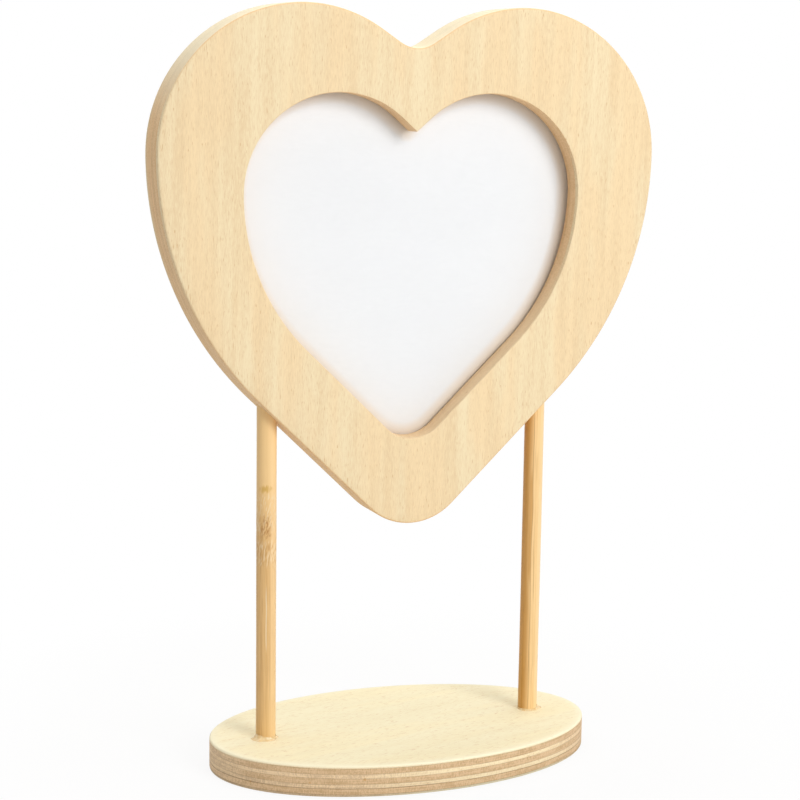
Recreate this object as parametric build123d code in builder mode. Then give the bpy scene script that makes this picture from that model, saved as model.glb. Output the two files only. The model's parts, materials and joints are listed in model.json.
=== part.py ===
from build123d import *
import os
from math import cos, radians, sin, sqrt, tan

# Heart-shaped photo frame: a plywood heart with a heart-shaped window stands on two
# bamboo rods above an oval plywood foot. The picture goes in from the back and is held
# by four turn buttons. Millimetres, +Z up, front towards -Y, origin under the foot's middle.

# Oval foot, seven plies of veneer
base_length = 101.0
base_width = 62.0
base_face_ply = 0.7
base_cross_ply = 1.5
base_long_ply = 1.05
base_edge_round = 0.5

# Bamboo rods, glued into blind sockets in the foot and in the heart's lower edges
rod_diameter = 5.0
rod_length = 100.0
rod_spacing = 73.0
rod_end_round = 0.4
rod_clearance = 0.05
base_socket_depth = 6.0
heart_socket_depth = 10.8
glue_bead_width = 1.5
glue_bead_height = 1.3
glue_bead_slope = 0.35

# Heart outline: two lobes that run out straight into the notch, two long side arcs, straight
# lower edges and a round tip
lobe_radius = 36.4
lobe_offset = 29.0
notch_slope = 33.0
notch_round = 8.0
side_radius = 83.5
lower_edge_angle = 46.0
tip_radius = 16.0
heart_edge_round = 0.4
edge_round_limit = 0.9

# Window in the heart, the same construction one size down
window_lobe_radius = 24.4
window_lobe_offset = 19.9
window_notch_slope = 41.0
window_side_radius = 52.8
window_edge_angle = 46.0
window_tip_radius = 10.0
window_drop = 9.2

# The heart is two boards glued face to face, each of three plies
heart_face_ply = 1.5
heart_core_ply = 3.0

# Rebate in the rear board and the flat pieces that fill it
rebate_lap = 5.0
stack_clearance = 0.3
pane_thickness = 1.0
photo_thickness = 0.3
packing_thickness = 1.7

# Turn buttons on the back and their screws
button_thickness = 0.8
button_width = 6.0
button_reach = 8.5
button_tip_width = 4.8
button_inset = 4.5
button_gap = 0.1
button_edge_break = 0.2
upper_button_angle = 48.0
screw_diameter = 2.4
screw_clearance = 0.06
screw_depth = 4.8
screw_point = 1.2
screw_end_gap = 0.2
screw_head_diameter = 4.8
screw_head_height = 1.3
screw_head_side = 0.4
screw_slot_width = 0.7
screw_slot_depth = 0.6

# Heights and depths that follow from the sizes above
base_plies = [
    ("base_bottom_veneer", base_face_ply),
    ("base_ply_2", base_cross_ply),
    ("base_ply_3", base_long_ply),
    ("base_ply_4", base_cross_ply),
    ("base_ply_5", base_long_ply),
    ("base_ply_6", base_cross_ply),
    ("base_top_veneer", base_face_ply),
]
base_top = sum(thickness for name, thickness in base_plies)
heart_board = 2 * heart_face_ply + heart_core_ply
heart_back = heart_board
heart_plies = [
    ("heart_rear_face_ply", heart_back, heart_face_ply),
    ("heart_rear_core_ply", heart_back - heart_face_ply, heart_core_ply),
    ("heart_rear_inner_ply", heart_face_ply, heart_face_ply),
    ("heart_front_inner_ply", 0.0, heart_face_ply),
    ("heart_front_core_ply", -heart_face_ply, heart_core_ply),
    ("heart_front_face_ply", heart_back - 2 * heart_board + heart_face_ply, heart_face_ply),
]
backing_thickness = heart_board - pane_thickness - photo_thickness - packing_thickness

rod_x = rod_spacing / 2
rod_radius = rod_diameter / 2
socket_radius = rod_radius + rod_clearance
rod_foot = base_top - base_socket_depth
rod_top = rod_foot + rod_length
heart_entry = rod_top - heart_socket_depth
rod_places = [("left", -rod_x), ("right", rod_x)]


def heart_shape(lobe_r, lobe_x, run_out_slope, side_r, edge_angle, tip_r):
    """Key points of a heart's right half, measured from the level of its lobe centres."""
    slope = radians(run_out_slope)
    lobe_end = (lobe_x - lobe_r * sin(slope), lobe_r * cos(slope))
    notch = (0, lobe_end[1] - lobe_end[0] * tan(slope))
    if lobe_end[0] <= 0:  # wide lobes cross before they run out straight
        notch = lobe_end = (0, sqrt(lobe_r**2 - lobe_x**2))
    angle = radians(edge_angle)
    side_x = lobe_x + lobe_r - side_r
    edge_start = (side_x + side_r * cos(angle), -side_r * sin(angle))
    reach = edge_start[0] * cos(angle) - edge_start[1] * sin(angle)
    tip_y = -(reach - tip_r) / sin(angle)
    tip_angle = (angle + radians(90)) / 2
    return {
        "notch": notch,
        "lobe_end": lobe_end,
        "lobe_top": (lobe_x, lobe_r),
        "widest": (lobe_x + lobe_r, 0),
        "side_middle": (side_x + side_r * cos(angle / 2), -side_r * sin(angle / 2)),
        "edge_start": edge_start,
        "edge_end": (tip_r * cos(angle), tip_y - tip_r * sin(angle)),
        "tip_middle": (tip_r * cos(tip_angle), tip_y - tip_r * sin(tip_angle)),
        "tip": (0, tip_y - tip_r),
        "side_centre": (side_x, 0),
        "tip_centre": (0, tip_y),
    }


def edge_level(x, shape, side_r, edge_angle, tip_r):
    """Level of a heart's lower outline at a distance x from its middle line."""
    if x < shape["edge_end"][0]:
        return shape["tip_centre"][1] - sqrt(tip_r**2 - x**2)
    if x > shape["edge_start"][0]:
        return -sqrt(side_r**2 - (x - shape["side_centre"][0]) ** 2)
    return shape["edge_start"][1] - (shape["edge_start"][0] - x) / tan(radians(edge_angle))


def heart_face(shape, level):
    """A flat heart with its lobe centres at the given level, ready to be added to a sketch."""
    point = {name: (x, y + level) for name, (x, y) in shape.items()}
    with BuildSketch() as heart:
        with BuildLine():
            if point["lobe_end"] != point["notch"]:
                Line(point["notch"], point["lobe_end"])
            ThreePointArc(point["lobe_end"], point["lobe_top"], point["widest"])
            ThreePointArc(point["widest"], point["side_middle"], point["edge_start"])
            Line(point["edge_start"], point["edge_end"])
            ThreePointArc(point["edge_end"], point["tip_middle"], point["tip"])
            mirror(about=Plane.YZ)
        make_face()
    return heart.sketch


outline = heart_shape(lobe_radius, lobe_offset, notch_slope, side_radius, lower_edge_angle, tip_radius)
heart_level = heart_entry - edge_level(rod_x, outline, side_radius, lower_edge_angle, tip_radius)
window_level = heart_level - window_drop


def window_shape(growth):
    """The window's outline grown evenly on all sides."""
    return heart_shape(
        window_lobe_radius + growth,
        window_lobe_offset,
        window_notch_slope,
        window_side_radius + growth,
        window_edge_angle,
        window_tip_radius + growth,
    )


window = window_shape(0)
rebate = window_shape(rebate_lap)
stack_outline = window_shape(rebate_lap - stack_clearance)

# Each turn button pivots just outside the rebate and points at the picture
upper_angle = radians(upper_button_angle)
upper_reach = window_lobe_radius + rebate_lap + button_inset
upper_x = window_lobe_offset + upper_reach * cos(upper_angle)
upper_z = window_level + upper_reach * sin(upper_angle)
edge_angle = radians(window_edge_angle)
edge_middle = (Vector(*rebate["edge_start"]) + Vector(*rebate["edge_end"])) / 2
lower_x = edge_middle.X + button_inset * cos(edge_angle)
lower_z = window_level + edge_middle.Y - button_inset * sin(edge_angle)
buttons = [
    ("turn_button_upper_left", -upper_x, upper_z, -upper_button_angle),
    ("turn_button_upper_right", upper_x, upper_z, 180 + upper_button_angle),
    ("turn_button_lower_left", -lower_x, lower_z, window_edge_angle),
    ("turn_button_lower_right", lower_x, lower_z, 180 - window_edge_angle),
]
screw_places = [(x, z) for name, x, z, turn in buttons]
button_back = heart_back + button_gap + button_thickness
screw_seat = button_back + button_gap
screw_radius = screw_diameter / 2

os.makedirs("parts", exist_ok=True)

# The foot's plies from the table up; the outer two have sanded edges
ply_bottom = 0.0
for ply_name, ply_thickness in base_plies:
    edge_round = min(base_edge_round, edge_round_limit * ply_thickness)
    with BuildPart() as base_ply:
        with BuildSketch(Plane.XY.offset(ply_bottom)):
            Ellipse(base_length / 2, base_width / 2)
        extrude(amount=ply_thickness)
        if ply_name == "base_top_veneer":
            fillet(base_ply.faces().sort_by(Axis.Z)[-1].outer_wire().edges(), radius=edge_round)
        if ply_name == "base_bottom_veneer":
            fillet(base_ply.faces().sort_by(Axis.Z)[0].outer_wire().edges(), radius=edge_round)
        if ply_bottom + ply_thickness > rod_foot:
            with Locations((-rod_x, 0, rod_foot), (rod_x, 0, rod_foot)):
                Cylinder(
                    socket_radius,
                    2 * base_top,
                    align=(Align.CENTER, Align.CENTER, Align.MIN),
                    mode=Mode.SUBTRACT,
                )
    base_ply.part.label = ply_name
    export_step(base_ply.part, f"parts/{ply_name}.step")
    ply_bottom += ply_thickness

# The heart's plies from the back to the front: the rear board has the wider rebate
socket_top = rod_top + rod_clearance
for ply_name, ply_back, ply_thickness in heart_plies:
    is_rear = ply_back > 0
    ply_front = ply_back - ply_thickness
    edge_round = min(heart_edge_round, edge_round_limit * ply_thickness)
    with BuildPart() as heart_ply:
        with BuildSketch(Plane.XZ.offset(-ply_back)) as board:
            add(heart_face(outline, heart_level))
            notch = board.vertices().sort_by_distance((0, heart_level + outline["notch"][1]))[0]
            fillet(notch, radius=notch_round)
        extrude(amount=ply_thickness)
        if ply_name == "heart_front_face_ply":
            fillet(heart_ply.faces().sort_by(Axis.Y)[0].outer_wire().edges(), radius=edge_round)
        if ply_name == "heart_rear_face_ply":
            fillet(heart_ply.faces().sort_by(Axis.Y)[-1].outer_wire().edges(), radius=edge_round)
        with BuildSketch(Plane.XZ.offset(-ply_back)):
            add(heart_face(rebate if is_rear else window, window_level))
        extrude(amount=ply_thickness, mode=Mode.SUBTRACT)
        if min(abs(ply_back), abs(ply_front)) < socket_radius:
            with Locations((-rod_x, 0, socket_top), (rod_x, 0, socket_top)):
                Cylinder(
                    socket_radius,
                    rod_length,
                    align=(Align.CENTER, Align.CENTER, Align.MAX),
                    mode=Mode.SUBTRACT,
                )
        if is_rear and ply_back > heart_back - screw_depth - screw_end_gap:
            with BuildSketch(Plane.XZ.offset(-heart_back)):
                with Locations(*screw_places):
                    Circle(screw_radius + screw_clearance)
            extrude(amount=screw_depth + screw_end_gap, mode=Mode.SUBTRACT)
    heart_ply.part.label = ply_name
    export_step(heart_ply.part, f"parts/{ply_name}.step")

# Bamboo rods with eased ends
for side, x in rod_places:
    with BuildPart() as rod:
        with BuildSketch(Plane.XY.offset(rod_foot)):
            with Locations((x, 0)):
                Circle(rod_radius)
        extrude(amount=rod_length)
        chamfer(rod.edges().filter_by(GeomType.CIRCLE), length=rod_end_round)
    rod.part.label = f"bamboo_rod_{side}"
    export_step(rod.part, f"parts/bamboo_rod_{side}.step")

# Squeezed-out glue round each rod where it enters the foot
for side, x in rod_places:
    foot = Plane(origin=(x, 0, base_top), x_dir=(1, 0, 0), z_dir=(0, -1, 0))
    bead_inner = socket_radius
    bead_outer = socket_radius + glue_bead_width
    bead_waist = (bead_inner + glue_bead_slope * glue_bead_width, glue_bead_slope * glue_bead_height)
    with BuildPart() as bead:
        with BuildSketch(foot):
            with BuildLine():
                Line((bead_inner, glue_bead_height), (bead_inner, 0))
                Line((bead_inner, 0), (bead_outer, 0))
                ThreePointArc((bead_outer, 0), bead_waist, (bead_inner, glue_bead_height))
            make_face()
        revolve(axis=Axis((x, 0, 0), (0, 0, 1)))
    bead.part.label = f"glue_bead_{side}"
    export_step(bead.part, f"parts/glue_bead_{side}.step")

# Clear pane, picture, packing card and backing board, one behind the other in the rebate
stack = [
    ("clear_pane", pane_thickness),
    ("photo_card", photo_thickness),
    ("packing_card", packing_thickness),
    ("backing_board", backing_thickness),
]
sheet_front = 0.0
for sheet_name, sheet_thickness in stack:
    with BuildPart() as sheet:
        with BuildSketch(Plane.XZ.offset(-sheet_front - sheet_thickness)):
            add(heart_face(stack_outline, window_level))
        extrude(amount=sheet_thickness)
    sheet.part.label = sheet_name
    export_step(sheet.part, f"parts/{sheet_name}.step")
    sheet_front += sheet_thickness

# Turn buttons: flat strips with a round tail over the screw and a narrower tip
for button_name, x, z, turn in buttons:
    pointing = (cos(radians(turn)), 0, sin(radians(turn)))
    seat = Plane(origin=(x, button_back, z), x_dir=pointing, z_dir=(0, -1, 0))
    with BuildPart() as button:
        with BuildSketch(seat):
            Circle(button_width / 2)
            with Locations((button_reach - button_tip_width / 2, 0)):
                Circle(button_tip_width / 2)
            make_hull()
        extrude(amount=button_thickness)
        chamfer(button.faces().sort_by(Axis.Y)[-1].outer_wire().edges(), length=button_edge_break)
        with BuildSketch(seat):
            Circle(screw_radius + screw_clearance)
        extrude(amount=button_thickness, mode=Mode.SUBTRACT)
    button.part.label = button_name
    export_step(button.part, f"parts/{button_name}.step")

# One round-headed wood screw through each turn button
head_radius = screw_head_diameter / 2
head_top = screw_seat + screw_head_height
shank_end = heart_back - screw_depth + screw_point - screw_seat
with BuildPart() as screws:
    for x, z in screw_places:
        axis_plane = Plane(origin=(x, screw_seat, z), x_dir=(1, 0, 0), z_dir=(0, 0, 1))
        with BuildSketch(axis_plane):
            with BuildLine():
                Line((0, screw_head_height), (0, shank_end - screw_point))
                Line((0, shank_end - screw_point), (screw_radius, shank_end))
                Line((screw_radius, shank_end), (screw_radius, 0))
                Line((screw_radius, 0), (head_radius, 0))
                Line((head_radius, 0), (head_radius, screw_head_side))
                TangentArc((0, screw_head_height), (head_radius, screw_head_side), tangent=(1, 0))
            make_face()
        revolve(axis=Axis((x, 0, z), (0, 1, 0)))
        slot_top = Plane(origin=(x, head_top, z), x_dir=(1, 0, 0), z_dir=(0, -1, 0))
        with BuildSketch(slot_top):
            Rectangle(screw_head_diameter, screw_slot_width)
        extrude(amount=screw_slot_depth, mode=Mode.SUBTRACT)
screws.part.label = "turn_button_screws"
export_step(screws.part, "parts/turn_button_screws.step")
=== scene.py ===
import json
from math import acos, atan2, cos, pi, radians, sin, tan

import bmesh
import bpy
from mathutils import Matrix, Quaternion, Vector, noise


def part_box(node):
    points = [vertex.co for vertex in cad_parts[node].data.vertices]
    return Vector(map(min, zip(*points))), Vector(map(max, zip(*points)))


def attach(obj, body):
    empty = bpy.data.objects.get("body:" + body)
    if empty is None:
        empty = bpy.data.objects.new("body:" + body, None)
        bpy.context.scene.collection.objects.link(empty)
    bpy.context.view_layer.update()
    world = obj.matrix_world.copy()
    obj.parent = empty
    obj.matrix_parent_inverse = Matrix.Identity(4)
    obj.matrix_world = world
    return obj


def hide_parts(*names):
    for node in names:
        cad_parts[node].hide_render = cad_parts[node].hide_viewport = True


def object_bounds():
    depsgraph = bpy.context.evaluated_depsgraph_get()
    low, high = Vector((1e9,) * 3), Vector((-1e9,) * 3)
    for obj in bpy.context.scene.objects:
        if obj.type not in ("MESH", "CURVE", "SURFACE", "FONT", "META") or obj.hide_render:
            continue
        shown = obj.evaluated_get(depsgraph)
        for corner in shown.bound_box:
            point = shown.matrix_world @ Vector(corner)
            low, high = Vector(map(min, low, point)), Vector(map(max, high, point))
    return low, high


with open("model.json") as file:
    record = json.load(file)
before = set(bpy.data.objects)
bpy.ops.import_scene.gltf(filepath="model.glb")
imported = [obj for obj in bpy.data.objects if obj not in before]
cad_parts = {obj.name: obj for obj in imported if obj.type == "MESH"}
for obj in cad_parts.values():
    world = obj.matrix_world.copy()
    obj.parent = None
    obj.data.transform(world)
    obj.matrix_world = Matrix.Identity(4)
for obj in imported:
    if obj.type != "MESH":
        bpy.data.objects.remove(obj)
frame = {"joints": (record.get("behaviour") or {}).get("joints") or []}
cad_low, cad_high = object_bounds()

# Oval foot: seven veneers of pale birch, glued with their grain crossed and sawn to an oval.
# The outer rims are sanded round, the glue lines lie a hair deep along the edge, and the
# upper plies are drilled with a blind socket for each rod.
MM = 0.001
RIM_PITCH = 1.0 * MM
QUARTERS = 4
UP_AXIS = 2
FOOT_ROUND = 0.48 * MM
ROUND_STEPS = 4
ROUND_MARGIN = 3.6
ROUND_CROWN = 0.1
SHARP_ANGLE = radians(32)
GLUE_LINE = 0.16 * MM
GLUE_SINK = 0.03 * MM
GLUE_WANDER = 0.11 * MM
GLUE_WAVE = 19 * MM
GLUE_WAVE_SHIFT = 7.3
SOCKET_CLEARANCE = 0.05 * MM
SOCKET_SIDES = 48
FOOT_GRAIN_TURN = radians(12)
FOOT_SEED = 1
FOOT_SEED_STEP = 4.1
FOOT_FACE_WOOD = ((0.955, 0.89, 0.645), (0.96, 0.875, 0.605), (0.90, 0.81, 0.555))
FOOT_FACE_ENDS = ((0.93, 0.80, 0.54), (0.84, 0.68, 0.43))
FOOT_LONG_WOOD = ((0.98, 0.85, 0.57), (0.98, 0.83, 0.55), (0.88, 0.71, 0.45))
FOOT_CROSS_WOOD = ((0.90, 0.69, 0.44), (0.90, 0.67, 0.42), (0.67, 0.49, 0.305))
FOOT_END_WOOD = ((0.775, 0.56, 0.34), (0.60, 0.41, 0.22))
FOOT_PLIES = [
    # The bottom veneer's darker edge (0.72) is partly painted shade under the foot.
    ("base_bottom_veneer", "X", FOOT_FACE_WOOD, FOOT_CROSS_WOOD, 0.72, 0.0),
    ("base_ply_2", "Y", FOOT_CROSS_WOOD, FOOT_END_WOOD, 0.95, 0.6),
    ("base_ply_3", "X", FOOT_LONG_WOOD, FOOT_CROSS_WOOD, 0.95, 0.9),
    ("base_ply_4", "Y", FOOT_CROSS_WOOD, FOOT_END_WOOD, 0.97, 0.5),
    ("base_ply_5", "X", FOOT_LONG_WOOD, FOOT_CROSS_WOOD, 1.0, 0.4),
    ("base_ply_6", "Y", FOOT_CROSS_WOOD, FOOT_END_WOOD, 0.98, 0.45),
    ("base_top_veneer", "X", FOOT_FACE_WOOD, FOOT_FACE_ENDS, 1.0, 0.35),
]
PLAIN_WHITE = (1.0, 1.0, 1.0)
PORE_BROWN = (0.60, 0.34, 0.13)
GLUE_BROWN = (0.24, 0.14, 0.07)
# Pale wood for sanded rims and for painted light on upward-facing edges.
SANDED_AND_LIT_PALE = (0.96, 0.91, 0.69)
# Colour of the painted shade deep in the window recess.
RECESS_SHADE = (0.92, 0.85, 0.78)
STREAK = {"across": 2.8 * MM, "along": 60 * MM, "detail": 3.0, "roughness": 0.6}
FIBRE = {"across": 0.22 * MM, "along": 1.9 * MM, "shift": 3, "detail": 3.0, "roughness": 0.62}
PORE = {"across": 0.17 * MM, "along": 1.6 * MM, "shift": 5, "detail": 0.0}
BLUSH = {"across": 7 * MM, "along": 45 * MM, "shift": 8}
SAW_MARK = {"across": 0.3 * MM, "along": 0.9 * MM, "shift": 11, "detail": 3.0, "roughness": 0.7}
RING = {"across": 8 * MM, "along": 0.32 * MM, "shift": 13}
PIT_SPACING = 7 * MM
NOISE_MIDDLE = 0.5
NOISE_SKEW = 2.7
TONE_MIDDLE = 0.42
STREAK_SHARE = 1.2
FIBRE_SHARE = 1.7
SAW_SHARE = 3.2
RING_SHARE = 2.0
PORE_SHARE = 0.5
PIT_SHARE = 0.8
SANDED_AND_LIT_SHARE = 0.7
END_BAND = (0.15, 0.55)
SAWN_BAND = (0.8, 0.3)
PORE_BAND = (0.70, 0.80)
BLUSH_BAND = (0.42, 0.64)
PIT_BAND = (0.07, 0.03)
TOP_BAND = (0.15, 0.75)
SHELTER_BAND = (0.0, 0.01, 1.0, 0.3)
GLUE_BAND = (0.36, 0.60, 0.4, 1.0)
WOOD_ROUGH = (0.2, 0.8, 0.56, 0.72)
WOOD_GLOSS = 0.3
WOOD_RELIEF = (0.03 * MM, 0.5)
PORE_DEPTH = -0.8
SAW_DEPTH = 2.0
MIX_A, MIX_B, MIX_COLOUR = 6, 7, 2


def put(tree, kind, inputs, **settings):
    """Add a node, set its options, and link or fill its inputs."""
    made = tree.nodes.new(kind)
    for option, value in settings.items():
        setattr(made, option, value)
    for socket, value in inputs.items():
        if isinstance(value, bpy.types.NodeSocket):
            tree.links.new(value, made.inputs[socket])
        else:
            made.inputs[socket].default_value = value
    return made


def maths(tree, operation, *terms):
    """One sum on numbers or sockets."""
    return put(tree, "ShaderNodeMath", dict(enumerate(terms)), operation=operation).outputs[0]


def times(tree, value_a, value_b):
    """The product of two values."""
    return maths(tree, "MULTIPLY", value_a, value_b)


def swing(tree, value, share, base):
    """A base value, moved up and down by a share of a noise."""
    return maths(tree, "MULTIPLY_ADD", maths(tree, "SUBTRACT", value, NOISE_MIDDLE), share, base)


def ramp(tree, value, low, high, out_low=0.0, out_high=1.0):
    """Ease a value from one range to another, held at both ends."""
    inputs = {"Value": value, "From Min": low, "From Max": high, "To Min": out_low, "To Max": out_high}
    return put(tree, "ShaderNodeMapRange", inputs, interpolation_type="SMOOTHSTEP").outputs[0]


def tint(tree, share, colour_a, colour_b, blend="MIX"):
    """Blend two colours, each a plain triple or a socket."""
    inputs = {0: share}
    for index, colour in ((MIX_A, colour_a), (MIX_B, colour_b)):
        inputs[index] = (*colour, 1.0) if isinstance(colour, tuple) else colour
    return put(tree, "ShaderNodeMix", inputs, data_type="RGBA", blend_type=blend).outputs[MIX_COLOUR]


def darken(tree, share, colour, shade):
    """Multiply a colour by a share of a shade."""
    return tint(tree, 1.0, colour, tint(tree, share, PLAIN_WHITE, shade), "MULTIPLY")


def painted(tree, name):
    """A value that is written on the mesh's own vertices."""
    return put(tree, "ShaderNodeAttribute", {}, attribute_name=name).outputs["Fac"]


def grain_noise(tree, spot, grain, seed, across, along, shift=0, detail=2.0, roughness=0.5):
    """Noise drawn out along the grain: sizes in metres across and along the fibres."""
    stretch = [1 / along if axis == grain else 1 / across for axis in "XYZ"]
    start = seed + shift
    place = {"Vector": spot, "Scale": stretch, "Location": (start, NOISE_SKEW * start, -start)}
    moved = put(tree, "ShaderNodeMapping", place)
    inputs = {"Vector": moved.outputs[0], "Scale": 1.0, "Detail": detail, "Roughness": roughness}
    return put(tree, "ShaderNodeTexNoise", inputs).outputs[0]


def bare_material(name):
    """A new material with its node tree and its shader."""
    material = bpy.data.materials.new(name)
    material.use_nodes = True
    tree = material.node_tree
    return material, tree, tree.nodes["Principled BSDF"]


def dress(tree, shader, colour, roughness, height, relief):
    """Give a shader its colour, its roughness and a fine relief."""
    depth, strength = relief
    bump = put(tree, "ShaderNodeBump", {"Height": height, "Distance": depth, "Strength": strength})
    tree.links.new(colour, shader.inputs["Base Color"])
    tree.links.new(roughness, shader.inputs["Roughness"])
    tree.links.new(bump.outputs[0], shader.inputs["Normal"])


def veneer(name, grain, through, turn, tones, ends, shade, seed):
    """Bare wood of one ply: fibres and thin pores along the grain, saw marks and a few pits on its edges."""
    material, tree, shader = bare_material(name)
    place = put(tree, "ShaderNodeTexCoord", {}).outputs
    laid = tuple(-turn if axis == through else 0.0 for axis in "XYZ")
    spot = put(tree, "ShaderNodeMapping", {"Vector": place["Object"], "Rotation": laid}).outputs[0]
    normal = put(tree, "ShaderNodeMapping", {"Vector": place["Normal"], "Rotation": laid}).outputs[0]
    facing = put(tree, "ShaderNodeSeparateXYZ", {0: normal}).outputs
    upward = put(tree, "ShaderNodeSeparateXYZ", {0: place["Normal"]}).outputs["Z"]
    end_share = ramp(tree, maths(tree, "ABSOLUTE", facing[grain]), *END_BAND)
    sawn = ramp(tree, maths(tree, "ABSOLUTE", facing[through]), *SAWN_BAND)

    streak = grain_noise(tree, spot, grain, seed, **STREAK)
    fibre = grain_noise(tree, spot, grain, seed, **FIBRE)
    pore = ramp(tree, grain_noise(tree, spot, grain, seed, **PORE), *PORE_BAND)
    blush = grain_noise(tree, spot, grain, seed, **BLUSH)
    saw = grain_noise(tree, spot, through, seed, **SAW_MARK)
    ring = grain_noise(tree, spot, through, seed, **RING)
    pit = put(tree, "ShaderNodeTexVoronoi", {"Vector": spot, "Scale": 1 / PIT_SPACING}).outputs["Distance"]

    marks = times(tree, maths(tree, "SUBTRACT", saw, NOISE_MIDDLE), sawn)
    rings = times(tree, maths(tree, "SUBTRACT", ring, NOISE_MIDDLE), sawn)
    tone = swing(tree, streak, STREAK_SHARE, TONE_MIDDLE)
    tone = swing(tree, fibre, FIBRE_SHARE, tone)
    tone = maths(tree, "MULTIPLY_ADD", marks, SAW_SHARE, tone)
    tone = maths(tree, "MULTIPLY_ADD", rings, RING_SHARE, tone)
    tone = ramp(tree, tone, 0.0, 1.0)
    pale, blushed, deep = tones
    long_wood = tint(tree, tone, tint(tree, ramp(tree, blush, *BLUSH_BAND), pale, blushed), deep)
    long_wood = tint(tree, times(tree, pore, PORE_SHARE), long_wood, PORE_BROWN)
    wood = tint(tree, end_share, long_wood, tint(tree, tone, ends[0], ends[-1]))
    wood = darken(tree, sawn, wood, (shade, shade, shade))
    pit = times(tree, ramp(tree, pit, *PIT_BAND), sawn)
    wood = tint(tree, times(tree, pit, PIT_SHARE), wood, PORE_BROWN)

    # Painted shade: the window walls darken towards the back of the front board, where the paper lies.
    recess_shade = painted(tree, "recess_shade")
    # Painted light: upward-facing sawn edges are made paler, held back inside the window recess.
    lit_top = times(tree, times(tree, ramp(tree, upward, *TOP_BAND), sawn), SANDED_AND_LIT_SHARE)
    lit_top = times(tree, lit_top, ramp(tree, recess_shade, *SHELTER_BAND))
    # Sanded rims, partly a painted highlight along the foot's top edge.
    worn_and_highlight = times(tree, painted(tree, "worn_and_highlight"), SANDED_AND_LIT_SHARE)
    wood = tint(tree, maths(tree, "MAXIMUM", lit_top, worn_and_highlight), wood, SANDED_AND_LIT_PALE)
    wood = darken(tree, recess_shade, wood, RECESS_SHADE)
    glue = times(tree, painted(tree, "glue_line"), ramp(tree, blush, *GLUE_BAND))
    wood = tint(tree, glue, wood, GLUE_BROWN)

    relief = maths(tree, "MULTIPLY_ADD", pore, PORE_DEPTH, fibre)
    relief = maths(tree, "MULTIPLY_ADD", marks, SAW_DEPTH, relief)
    dress(tree, shader, wood, ramp(tree, fibre, *WOOD_ROUGH), relief, WOOD_RELIEF)
    shader.inputs["Specular IOR Level"].default_value = WOOD_GLOSS
    return material


def edges_of(verts):
    """The edges at some vertices, each once."""
    return list(dict.fromkeys(edge for vert in verts for edge in vert.link_edges))


def verts_of(edges):
    """The vertices of some edges, each once."""
    return list(dict.fromkeys(vert for edge in edges for vert in edge.verts))


def oval_loop(bm, inset, level, joint=None):
    """One oval ring of the foot's rim, wandering a little where it is a glue line."""
    sides = QUARTERS * round(pi * (foot_length + foot_width) / 2 / RIM_PITCH / QUARTERS)
    verts = bmesh.ops.create_circle(bm, segments=sides, radius=1.0)["verts"]
    size = (foot_length / 2 - inset, foot_width / 2 - inset, 1.0)
    bmesh.ops.scale(bm, vec=size, verts=verts)
    bmesh.ops.translate(bm, vec=(0, 0, level), verts=verts)
    mark_glue_line(bm, verts, UP_AXIS, joint)
    return edges_of(verts)


def mark_glue_line(bm, verts, axis, joint):
    """Let a ring drift as a real glue line does, and note how dark it is for the material."""
    if joint is None:
        return
    number, darkness = joint
    layer = bm.verts.layers.float["glue_line"]
    shift = Vector((0, 0, GLUE_WAVE_SHIFT * number))
    for vert in verts:
        vert[layer] = darkness
        vert.co[axis] += GLUE_WANDER * noise.noise(vert.co / GLUE_WAVE + shift)


def socket_loop(bm, x, level):
    """The round mouth or bottom of a rod's socket."""
    verts = bmesh.ops.create_circle(bm, segments=SOCKET_SIDES, radius=socket_radius)["verts"]
    bmesh.ops.translate(bm, vec=(x, 0, level), verts=verts)
    return edges_of(verts)


def join_rings(bm, rings):
    """Skin a stack of rings with walls."""
    for ring_a, ring_b in zip(rings, rings[1:]):
        bmesh.ops.bridge_loops(bm, edges=ring_a + ring_b)


def fill(bm, edges):
    """Close one or more flat rings with a face, leaving a ring inside another open."""
    bmesh.ops.triangle_fill(bm, use_beauty=True, edges=edges)


def rim_rows(low, high, low_round, high_round, low_joint=None, high_joint=None):
    """Inset, level and glue line of the rows up a ply's edge: a side is sanded round or glued."""
    rows = []
    if low_round:
        rows += [(inset, low + drop, None) for inset, drop in round_rows(low_round)[::-1]]
    else:
        rows += [(GLUE_SINK, low, low_joint), (0, low + GLUE_LINE, None)]
    if high_round:
        rows += [(inset, high - drop, None) for inset, drop in round_rows(high_round)]
    else:
        rows += [(0, high - GLUE_LINE, None), (GLUE_SINK, high, high_joint)]
    return rows


def round_rows(radius):
    """Inset and drop of a sanded edge from its side to the face, which falls off a hair at its rim."""
    turns = [pi / 2 * step / ROUND_STEPS for step in range(ROUND_STEPS + 1)]
    rows = [(radius * (1 - cos(turn)), radius * (ROUND_CROWN + 1 - sin(turn))) for turn in turns]
    return rows + [(radius * (1 + ROUND_MARGIN), 0)]


def close_mesh(bm, name):
    """Make a mesh of a finished bmesh."""
    mesh = bpy.data.meshes.new(name)
    bm.to_mesh(mesh)
    bm.free()
    return mesh


def stand(name, data):
    """Put a mesh, a lamp or a camera into the scene."""
    item = bpy.data.objects.new(name, data)
    bpy.context.scene.collection.objects.link(item)
    return item


def seat_piece(bm, name, material, nodes, body="frame"):
    """Close a bmesh into a smooth-shaded piece that stands for its CAD nodes."""
    bmesh.ops.recalc_face_normals(bm, faces=bm.faces)
    mesh = close_mesh(bm, name)
    mesh.materials.append(material)
    mesh.shade_smooth()
    mesh.set_sharp_from_angle(angle=SHARP_ANGLE)
    piece = stand(name, mesh)
    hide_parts(*nodes)
    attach(piece, body)
    return piece


foot_low, foot_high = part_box("base_ply_4")
foot_length = foot_high.x - foot_low.x
foot_width = foot_high.y - foot_low.y
rod_low, rod_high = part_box("bamboo_rod_right")
rod_x = (rod_low.x + rod_high.x) / 2
rod_radius = (rod_high.x - rod_low.x) / 2
socket_radius = rod_radius + SOCKET_CLEARANCE

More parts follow.
